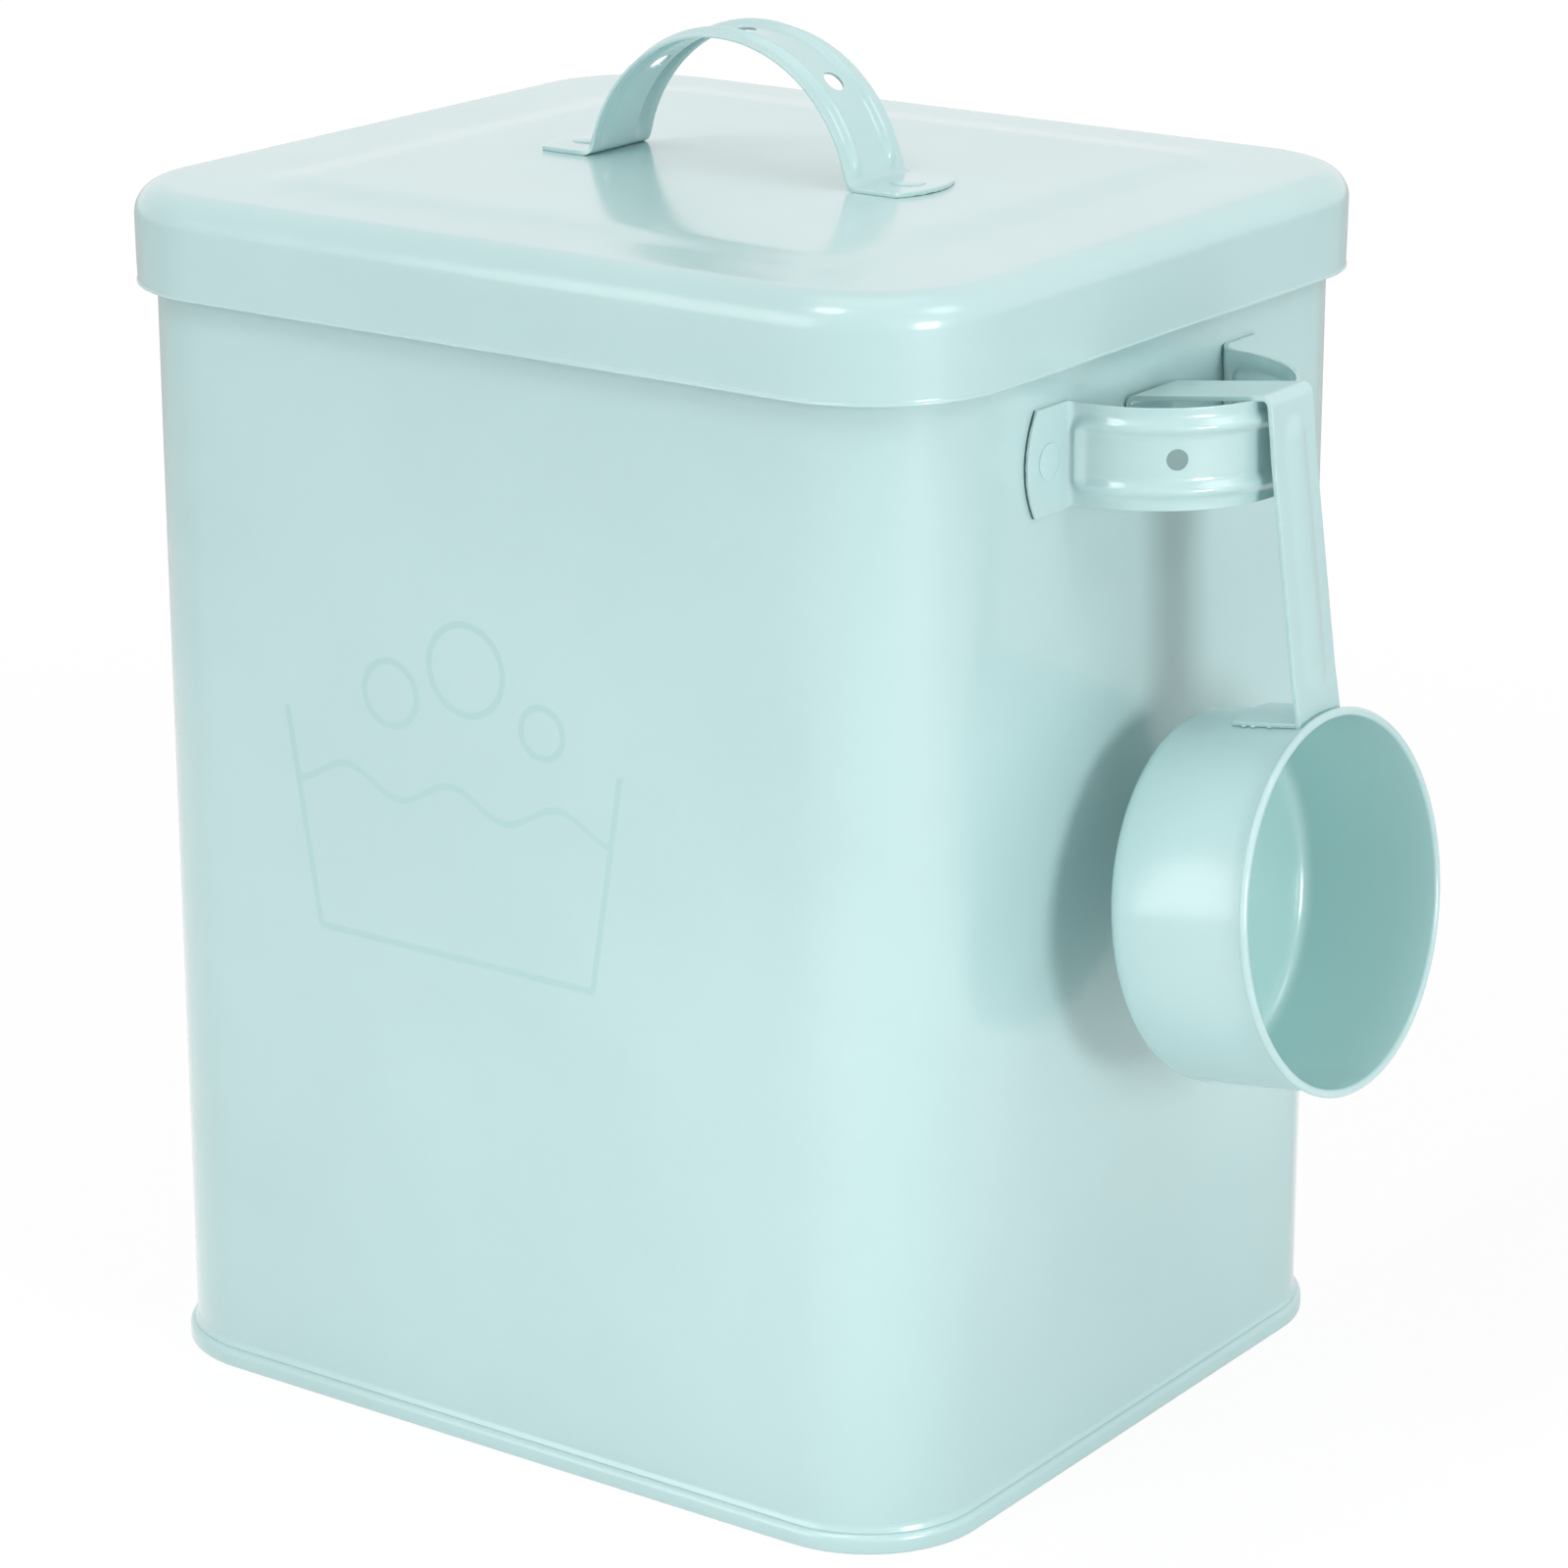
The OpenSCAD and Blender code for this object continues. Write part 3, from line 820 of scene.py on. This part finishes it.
def scoop_frame():
    """Frame of the hanging scoop: x out of the cup, z up its strap, the hook's outer corner at 0."""
    shift = Matrix.Translation((HOOK_X * MM, SCOOP_Y * MM, HOOK_Z * MM))
    return shift @ Matrix.Rotation(math.radians(-SCOOP_TILT), 4, "Y")


def cup_frame():
    """Frame of the cup: z out of its mouth, which lies on z = 0."""
    shift = Matrix.Translation((CUP_MOUTH_X * MM, 0, -(SCOOP_L + CUP_R) * MM))
    return scoop_frame() @ shift @ Matrix.Rotation(math.radians(90), 4, "Y")


def scoop_cup(material):
    """Round cup with a rim curled outwards. Attribute inside, which rises from the rim to the inner wall,
    sets the painted shade inside the cup.
    """
    axis_r = CUP_R - CUP_EDGE_R
    wall_r = CUP_R - CUP_T
    floor = -CUP_DEPTH
    inner_floor = floor + CUP_T
    profile = [(0.6, floor), (8.0, floor), (18.0, floor), (axis_r - 4.0, floor)]
    profile += arc(axis_r, floor + CUP_EDGE_R, CUP_EDGE_R, -90, 0, 10)
    profile += [(CUP_R, -18.0), (CUP_R, -10.0), (CUP_R, -4.0)]
    profile += arc(wall_r + CUP_RIM_R, -CUP_RIM_R, CUP_RIM_R, -83, 180, 18)
    profile += [(wall_r, -4.0), (wall_r, -10.0), (wall_r, -18.0)]
    profile += arc(axis_r, floor + CUP_EDGE_R, CUP_EDGE_R - CUP_T, 0, -90, 10)
    profile += [(r, inner_floor) for r in (axis_r - 4.0, 18.0, 8.0, 0.6)]
    points, faces = skin_rings(lathe(profile, CUP_STEPS), cap_first=True, cap_last=True)
    mesh = mesh_of("scoop_cup", points, faces)
    inside = mesh.attributes.new("inside", "FLOAT", "POINT")
    for vertex in mesh.vertices:
        inside.data[vertex.index].value = smooth(32, 40, vertex.index // CUP_STEPS)
    mesh.transform(cup_frame())
    return finish_piece("scoop_cup_shell", mesh, material, "tin", ["scoop_cup"])


def hook_bend(x, start, steps=8):
    """Quarter turn of the hook about (x, -HOOK_R), from an angle in degrees: points and normals."""
    out = []
    for k in range(steps + 1):
        a = math.radians(start - 90 * k / steps)
        n = (math.cos(a), math.sin(a))
        out.append(((x + HOOK_R * n[0], -HOOK_R + HOOK_R * n[1]), n))
    return out


def scoop_path():
    """Outer face of the scoop's strap from the lip to its lower end on the cup: (x, z) and normal."""
    rise = HOOK_LIP - HOOK_R
    trail = [((-HOOK_L, -HOOK_LIP + rise * k / 6), (-1.0, 0.0)) for k in range(6)]
    trail += hook_bend(HOOK_R - HOOK_L, 180)
    plate = HOOK_L - 2 * HOOK_R
    trail += [((HOOK_R - HOOK_L + plate * k / 20, 0.0), (0.0, 1.0)) for k in range(1, 20)]
    trail += hook_bend(-HOOK_R, 90)
    bottom = -(SCOOP_L - HANG_GAP)
    length = -HOOK_R - bottom
    trail += [((0.0, -HOOK_R - length * k / 76), (1.0, 0.0)) for k in range(1, 77)]
    return trail, bottom


def strap_columns():
    """Places across the scoop's strap, closer at its edges and over its rib."""
    half = [0.6, 1.2, 1.8, 2.4, 3.0, 3.6, 4.2, 4.8, 5.6, 6.4, 7.0, SCOOP_HALF_W]
    return [-v for v in reversed(half)] + [0.0] + half


def rib_height(z, v):
    """Low rib pressed into the scoop's strap, with round ends."""
    over = max(z - RIB_TOP, RIB_FOOT - z, 0.0)
    off = math.hypot(over, v) if over > 0 else abs(v)
    if off >= RIB_HALF_W:
        return 0.0
    return RIB_RISE * math.cos(math.pi / 2 * off / RIB_HALF_W) ** 1.1


def scoop_strap(material):
    """Bent strap: lip, hook plate, ribbed upright, and the lower end that sits on the cup."""
    trail, bottom = scoop_path()
    columns = strap_columns()
    points = []
    for (x, z), n in trail:
        for v in columns:
            rise = rib_height(z, v) if n[0] > 0.99 and z < -HOOK_R else 0.0
            if x > -1.0:
                rise -= STRAP_CAMBER * v * v * smooth(-4.0, -14.0, z) * smooth(bottom, bottom + 10.0, z)
            sag = (CUP_R - math.sqrt(CUP_R ** 2 - v * v)) * smooth(bottom + 9.0, bottom, z)
            sag = sag if x > -HOOK_L / 2 and z < -20 else 0.0
            points.append((x + n[0] * rise, v, z + n[1] * rise - sag))
    mesh = mesh_of("scoop_strap", points, grid_faces(len(trail), len(columns)))
    total = sum(p.normal.x * p.area for p in mesh.polygons if p.center.x > -0.002)
    if total < 0:
        mesh.flip_normals()
    solid = apply_modifiers(mesh, thickened(SCOOP_T), rounded(0.16))
    put_sheet(solid, scoop_frame())
    return finish_piece("scoop_strap", solid, material, "tin", ["scoop_handle"])


def scoop_tab(material):
    """Curved tab of the strap, lying on the cup from its rim backwards."""
    r_out = CUP_R + HANG_GAP + SCOOP_T
    rows = 26
    columns = 24
    front = -0.5
    points = []
    for k in range(rows + 1):
        x = front - (TAB_L - 0.5) * k / rows
        for j in range(columns + 1):
            a = -TAB_LEAN + 2 * TAB_LEAN * j / columns
            points.append((x, r_out * math.sin(a), -SCOOP_L - CUP_R + r_out * math.cos(a)))
    mesh = mesh_of("scoop_tab", points, grid_faces(rows + 1, columns + 1))
    turn_outwards(mesh)
    solid = apply_modifiers(mesh, thickened(SCOOP_T), rounded(0.25))
    put_sheet(solid, scoop_frame())
    return finish_piece("scoop_tab", solid, material, "tin", [])


def open_tree(name, sizes):
    """Empty geometry tree with a geometry input, named size inputs and a material input."""
    group = bpy.data.node_groups.new(name, "GeometryNodeTree")
    group.interface.new_socket("Geometry", in_out="INPUT", socket_type="NodeSocketGeometry")
    for size in sizes:
        group.interface.new_socket(size, in_out="INPUT", socket_type="NodeSocketFloat")
    group.interface.new_socket("Material", in_out="INPUT", socket_type="NodeSocketMaterial")
    group.interface.new_socket("Geometry", in_out="OUTPUT", socket_type="NodeSocketGeometry")
    tree = Tree(group)
    given = tree.nodes.new("NodeGroupInput")
    return group, tree, {socket.name: Wire(tree, socket) for socket in given.outputs if socket.name}


def close_tree(tree, shape, coat):
    """Ends a geometry tree: real geometry, smooth, in its material."""
    whole = tree.node("GeometryNodeRealizeInstances", None, {"Geometry": shape})
    soft = tree.node("GeometryNodeSetShadeSmooth", None, {"Geometry": whole})
    coated = tree.node("GeometryNodeSetMaterial", None, {"Geometry": soft, "Material": coat})
    tree.plug(tree.nodes.new("NodeGroupOutput").inputs["Geometry"], coated)


def run_tree(group, mesh, values):
    """Mesh that a geometry tree makes of a given mesh, with its inputs set by name."""
    carrier = carrier_of(mesh)
    modifier = carrier.modifiers.new("tree", "NODES")
    modifier.node_group = group
    for socket in group.interface.items_tree:
        if socket.name in values:
            modifier[socket.identifier] = values[socket.name]
    return take_mesh(carrier)


def sweep_tree(name):
    """Geometry tree: sweeps its section round a rectangle with round corners."""
    group, tree, given = open_tree(name, ["Path Width", "Path Depth", "Corner Radius"])
    section = tree.node("GeometryNodeMeshToCurve", None, {"Mesh": given["Geometry"]})
    path = tree.node(
        "GeometryNodeCurvePrimitiveQuadrilateral", None,
        {"Width": given["Path Width"], "Height": given["Path Depth"]},
    )
    path = tree.node(
        "GeometryNodeFilletCurve", {"mode": "POLY"},
        {"Curve": path, "Radius": given["Corner Radius"], "Count": 18},
    )
    shape = tree.node("GeometryNodeCurveToMesh", None, {"Curve": path, "Profile Curve": section})
    close_tree(tree, shape, given["Material"])
    return group


def swept(section, width, depth, radius, material):
    """Closed section of (offset, height) points, clockwise, swept round a tin-shaped path."""
    line = bpy.data.meshes.new("section")
    points = [(off * MM, -z * MM, 0.0) for off, z in section]
    line.from_pydata(points, [(k, (k + 1) % len(points)) for k in range(len(points))], [])
    sizes = {"Path Width": width * MM, "Path Depth": depth * MM, "Corner Radius": radius * MM}
    mesh = run_tree(SWEEP, line, {**sizes, "Material": material})
    mesh.set_sharp_from_angle(angle=SHARP_ANGLE)
    return mesh


def repeat_tree(name):
    """Geometry tree: puts a low domed head on each face of its mesh, along the face's normal."""
    group, tree, given = open_tree(name, ["Head Radius", "Head Height"])
    height = given["Head Height"]
    disc = {"Vertices": 40, "Radius": given["Head Radius"]}
    shaped = tree.node("GeometryNodeMeshCircle", {"fill_type": "NGON"}, disc)
    top = True
    for share, shrink in ((0.55, 1.0), (0.30, 0.93), (0.15, 0.86)):
        grown = tree.nodes.new("GeometryNodeExtrudeMesh")
        tree.plug(grown.inputs["Mesh"], shaped)
        tree.plug(grown.inputs["Selection"], top)
        tree.plug(grown.inputs["Offset Scale"], height * share)
        top = Wire(tree, grown.outputs["Top"])
        shaped = tree.node(
            "GeometryNodeScaleElements", None,
            {"Geometry": Wire(tree, grown.outputs["Mesh"]), "Selection": top, "Scale": shrink},
        )
    held = tree.nodes.new("GeometryNodeCaptureAttribute")
    held.domain = "FACE"
    held.capture_items.new("VECTOR", "Facing")
    tree.plug(held.inputs["Geometry"], given["Geometry"])
    tree.plug(held.inputs["Facing"], tree.node("GeometryNodeInputNormal"))
    seeds = Wire(tree, held.outputs["Geometry"])
    normal = Wire(tree, held.outputs["Facing"])
    points = tree.node("GeometryNodeMeshToPoints", {"mode": "FACES"}, {"Mesh": seeds})
    facing = tree.node("FunctionNodeAlignRotationToVector", {"axis": "Z"}, {"Vector": normal})
    studs = tree.node(
        "GeometryNodeInstanceOnPoints", None, {"Points": points, "Instance": shaped, "Rotation": facing}
    )
    close_tree(tree, studs, given["Material"])
    return group


def studs_on(name, places, radius, height, material, body, nodes):
    """Low domes on given places, each a (point, normal) pair in millimetres, by the repeat tree."""
    points = []
    faces = []
    for point, normal in places:
        n = Vector(normal).normalized()
        a = n.orthogonal().normalized() * 0.01
        b = n.cross(a)
        base = len(points)
        centre = Vector(point)
        points += [centre + a, centre - a / 2 + b, centre - a / 2 - b]
        faces.append((base, base + 1, base + 2))
    seeds = bpy.data.meshes.new(name + "_seeds")
    seeds.from_pydata([p * MM for p in points], [], faces)
    sizes = {"Head Radius": radius * MM, "Head Height": height * MM, "Material": material}
    mesh = run_tree(REPEAT, seeds, sizes)
    mesh.set_sharp_from_angle(angle=SHARP_ANGLE)
    return finish_piece(name, mesh, material, body, nodes)


def lid_rivets():
    """Two rivets of the lid handle, with a head above the foot and one under the lid."""
    spots = []
    for z, up in ((LID_SEAT + STRAP_T - STUD_SINK, 1), (LID_SEAT - SHEET_T + STUD_SINK, -1)):
        for side in (-1, 1):
            spots.append(((side * (LID_PATH.foot + RIVET_IN), 0, z), (0, 0, up)))
    nodes = ["lid_handle_rivets"]
    studs_on("lid_rivets", spots, RIVET_HEAD_R, RIVET_HEAD_H, HANDLE_COAT, "lid", nodes)


def side_rivets():
    """Four rivets of the side handles, with a head outside and one inside the wall."""
    spots = []
    for side in (-1, 1):
        for end in (-1, 1):
            y = side * SIDE_HANDLE_Y + end * (SIDE_PATH.foot + RIVET_IN)
            spots.append(((side * (BODY_W / 2 + STRAP_T - STUD_SINK), y, SIDE_HANDLE_Z), (side, 0, 0)))
            spots.append(((side * (BODY_W / 2 - SHEET_T + STUD_SINK), y, SIDE_HANDLE_Z), (-side, 0, 0)))
    nodes = ["side_handle_rivets"]
    studs_on("side_rivets", spots, RIVET_HEAD_R, RIVET_HEAD_H, HANDLE_COAT, "tin", nodes)


def weld_dots():
    """Small welds along both edges of the scoop's tab."""
    spots = []
    hung = scoop_frame()
    reach = (CUP_R + HANG_GAP + 0.1) * MM
    for side in (-1, 1):
        out = Vector((0, math.sin(side * TAB_LEAN), math.cos(side * TAB_LEAN)))
        for along in WELD_ALONG:
            spot = Vector((along, 0, -SCOOP_L - CUP_R)) * MM + out * reach
            spots.append((hung @ spot / MM, hung.to_3x3() @ out))
    studs_on("weld_dots", spots, WELD_R, WELD_H, SCOOP_COAT, "tin", [])


def rays(tree):
    """Factors of rays from the camera, and of rays that were mirrored or passed something clear."""
    light_path = tree.nodes.new("ShaderNodeLightPath")
    mirrored = Wire(tree, light_path.outputs["Is Glossy Ray"])
    passed = Wire(tree, light_path.outputs["Is Transmission Ray"])
    return Wire(tree, light_path.outputs["Is Camera Ray"]), tree.math("MAXIMUM", mirrored, passed)


def stage_floor():
    """White table that keeps a faint shadow, with painted shade further out, a painted shadow of the tin
    beside it, and painted reflection in what the tin mirrors.
    """
    material = bpy.data.materials.new("studio_floor")
    material.use_nodes = True
    tree = Tree(material.node_tree)
    shader = tree.nodes["Principled BSDF"]
    where = tree.node("ShaderNodeTexCoord", out=3)
    reach = tree.node("ShaderNodeVectorMath", {"operation": "LENGTH"}, {0: where}, out=1)
    away = tree.step(reach, 0.20, 0.85)
    x, y, _ = tree.split(where)
    # Painted shadow of the tin on the table: a strip along its right wall.
    tin_shadow_beside = tree.step(x, 0.07, 0.10) * (1.0 - tree.step(x, 0.13, 0.20)) * tree.step(y, -0.11, -0.06)
    # Painted shade: the table's colour darkens further out and in that strip.
    painted_floor_shade = tree.math("MAXIMUM", away, tin_shadow_beside * 0.3)
    tree.plug(shader.inputs["Base Color"], tree.blend(painted_floor_shade, FLOOR_TONE, FLOOR_SHADE_TONE))
    shader.inputs["Roughness"].default_value = 0.9
    shader.inputs["Specular IOR Level"].default_value = 0.1
    camera_ray, mirror_ray = rays(tree)
    # Painted reflection: rays mirrored in the tin see the table as a glow, dimmed away from the tin's
    # near corner and in the shadow strip.
    corner_x = x - 0.09
    corner_y = y + 0.08
    from_corner = tree.math("SQRT", corner_x * corner_x * 0.36 + corner_y * corner_y)
    mirrored = (1.0 - 0.7 * tree.step(from_corner, 0.15, 0.70)) * (1.0 - 0.85 * tin_shadow_beside)
    white = camera_ray * (0.90 + away * 0.10) + mirror_ray * mirrored
    glow = tree.node("ShaderNodeEmission", None, {"Color": WHITE, "Strength": 1.02})
    table = Wire(tree, shader.outputs[0])
    mixed = tree.node("ShaderNodeMixShader", None, {0: white, 1: table, 2: glow})
    tree.plug(tree.nodes["Material Output"].inputs["Surface"], mixed)
    mesh = bpy.data.meshes.new("studio_floor")
    corners = [(sx * FLOOR_HALF, sy * FLOOR_HALF, 0) for sx, sy in ((-1, -1), (1, -1), (1, 1), (-1, 1))]
    mesh.from_pydata(corners, [], [(0, 1, 2, 3)])
    mesh.materials.append(material)
    floor = bpy.data.objects.new("studio_floor", mesh)
    scene.collection.objects.link(floor)


def studio_world():
    """White backdrop. It lights the object evenly, but less from the viewer's side."""
    world = bpy.data.worlds.new("studio_world")
    scene.world = world
    world.use_nodes = True
    tree = Tree(world.node_tree)
    x, y, _ = tree.split(tree.node("ShaderNodeTexCoord", out=0))
    viewer = tree.step(x * 0.58 - y * 0.81, 0.45, 0.95)
    fill = 0.64 - viewer * 0.46
    seen = tree.math("MAXIMUM", *rays(tree))
    backdrop = tree.nodes["Background"]
    tree.plug(backdrop.inputs["Color"], WHITE)
    tree.plug(backdrop.inputs["Strength"], fill + seen * (1.0 - fill))


def area_light(name, place, size, power):
    """Square light that looks straight down until it is turned."""
    lamp = bpy.data.lights.new(name, "AREA")
    lamp.shape = "SQUARE"
    lamp.size = size
    lamp.energy = power
    holder = bpy.data.objects.new(name, lamp)
    scene.collection.objects.link(holder)
    holder.location = place
    return holder


def softbox(name, azimuth, elevation, distance, size, power):
    """Square soft light aimed at the middle of the tin; azimuth is from +X towards +Y."""
    a = math.radians(azimuth)
    e = math.radians(elevation)
    ray = Vector((math.cos(a) * math.cos(e), math.sin(a) * math.cos(e), math.sin(e)))
    holder = area_light(name, LIGHT_AIM + ray * distance, size, power)
    holder.rotation_euler = ray.to_track_quat("Z", "Y").to_euler()


def floor_light(place, size, spread, power):
    """Narrow light on the table in front of the tin, with its spread in degrees."""
    holder = area_light("floor_light", place, size, power)
    holder.data.spread = math.radians(spread)


def photo_camera():
    """Camera at the photograph's angle, to the right of the front and a little above."""
    east = math.cos(CAMERA_AZIMUTH)
    north = math.sin(CAMERA_AZIMUTH)
    level = math.cos(CAMERA_ELEVATION)
    right = Vector((east, north, 0.0))
    back = Vector((north * level, -east * level, math.sin(CAMERA_ELEVATION)))
    up = back.cross(right)
    side = right * math.cos(CAMERA_ROLL) + up * math.sin(CAMERA_ROLL)
    top = up * math.cos(CAMERA_ROLL) - right * math.sin(CAMERA_ROLL)
    spot = (right * CAMERA_RIGHT + Vector((0, 0, CAMERA_UP)) + back * CAMERA_DISTANCE) * MM
    camera = bpy.data.cameras.new("photo_camera")
    camera.sensor_fit = "HORIZONTAL"
    camera.sensor_width = SENSOR_W
    camera.lens = CAMERA_FOCAL * SENSOR_W / PHOTO_PIXELS
    camera.shift_x = CAMERA_SHIFT[0] / PHOTO_PIXELS
    camera.shift_y = CAMERA_SHIFT[1] / PHOTO_PIXELS
    holder = bpy.data.objects.new("photo_camera", camera)
    scene.collection.objects.link(holder)
    turn = Matrix((side, top, back)).transposed().to_4x4()
    holder.matrix_world = Matrix.Translation(spot) @ turn
    scene.camera = holder


photo_camera()
stage_floor()
studio_world()
for light in SOFTBOXES:
    softbox(*light)
floor_light((0.12, -0.30, 0.60), size=0.20, spread=30, power=0.42)

WALL_COAT = powder_coat("wall_powder_coat", peel=1.0, wave=0.10, gloss=1.0, haze=0.14, pattern=wash_print)
LID_COAT = powder_coat("lid_powder_coat", peel=0.8, wave=0.10, gloss=0.9, haze=0.14)
HANDLE_COAT = powder_coat("handle_powder_coat", peel=0.7, wave=0.50, gloss=1.0, haze=0.08, gap_paint_and_shade=True)
SCOOP_COAT = powder_coat("scoop_powder_coat", peel=0.8, wave=0.12, gloss=0.9, haze=0.17, bowl_shade=True)
REPEAT = repeat_tree("domed_studs")
SWEEP = sweep_tree("swept_section")

tin_wall(WALL_COAT)
base_pan(LID_COAT)
base_bead(LID_COAT)
lid_pressing(LID_COAT)
lid_hem(LID_COAT)

LID_PATH = StrapPath(r=30.5, lift=-4.5, half=70.0, hole_r=HOLE_R + 0.2, open_bead=True)
SIDE_PATH = StrapPath(r=26.2, lift=1.6, half=80.0, hole_r=HOLE_R, open_bead=False)
lid_place = Matrix.Translation((0, 0, LID_SEAT * MM))
strap_handle("lid_strap", LID_PATH, lid_place, HANDLE_COAT, "lid", "lid_handle", 0.55)
strap_handle("right_strap", SIDE_PATH, side_place(0.0), HANDLE_COAT, "tin", "side_handle_right", 1.0)
strap_handle("left_strap", SIDE_PATH, side_place(math.pi), HANDLE_COAT, "tin", "side_handle_left", 0.7)

scoop_cup(SCOOP_COAT)
scoop_strap(SCOOP_COAT)
scoop_tab(SCOOP_COAT)

lid_rivets()
side_rivets()
weld_dots()
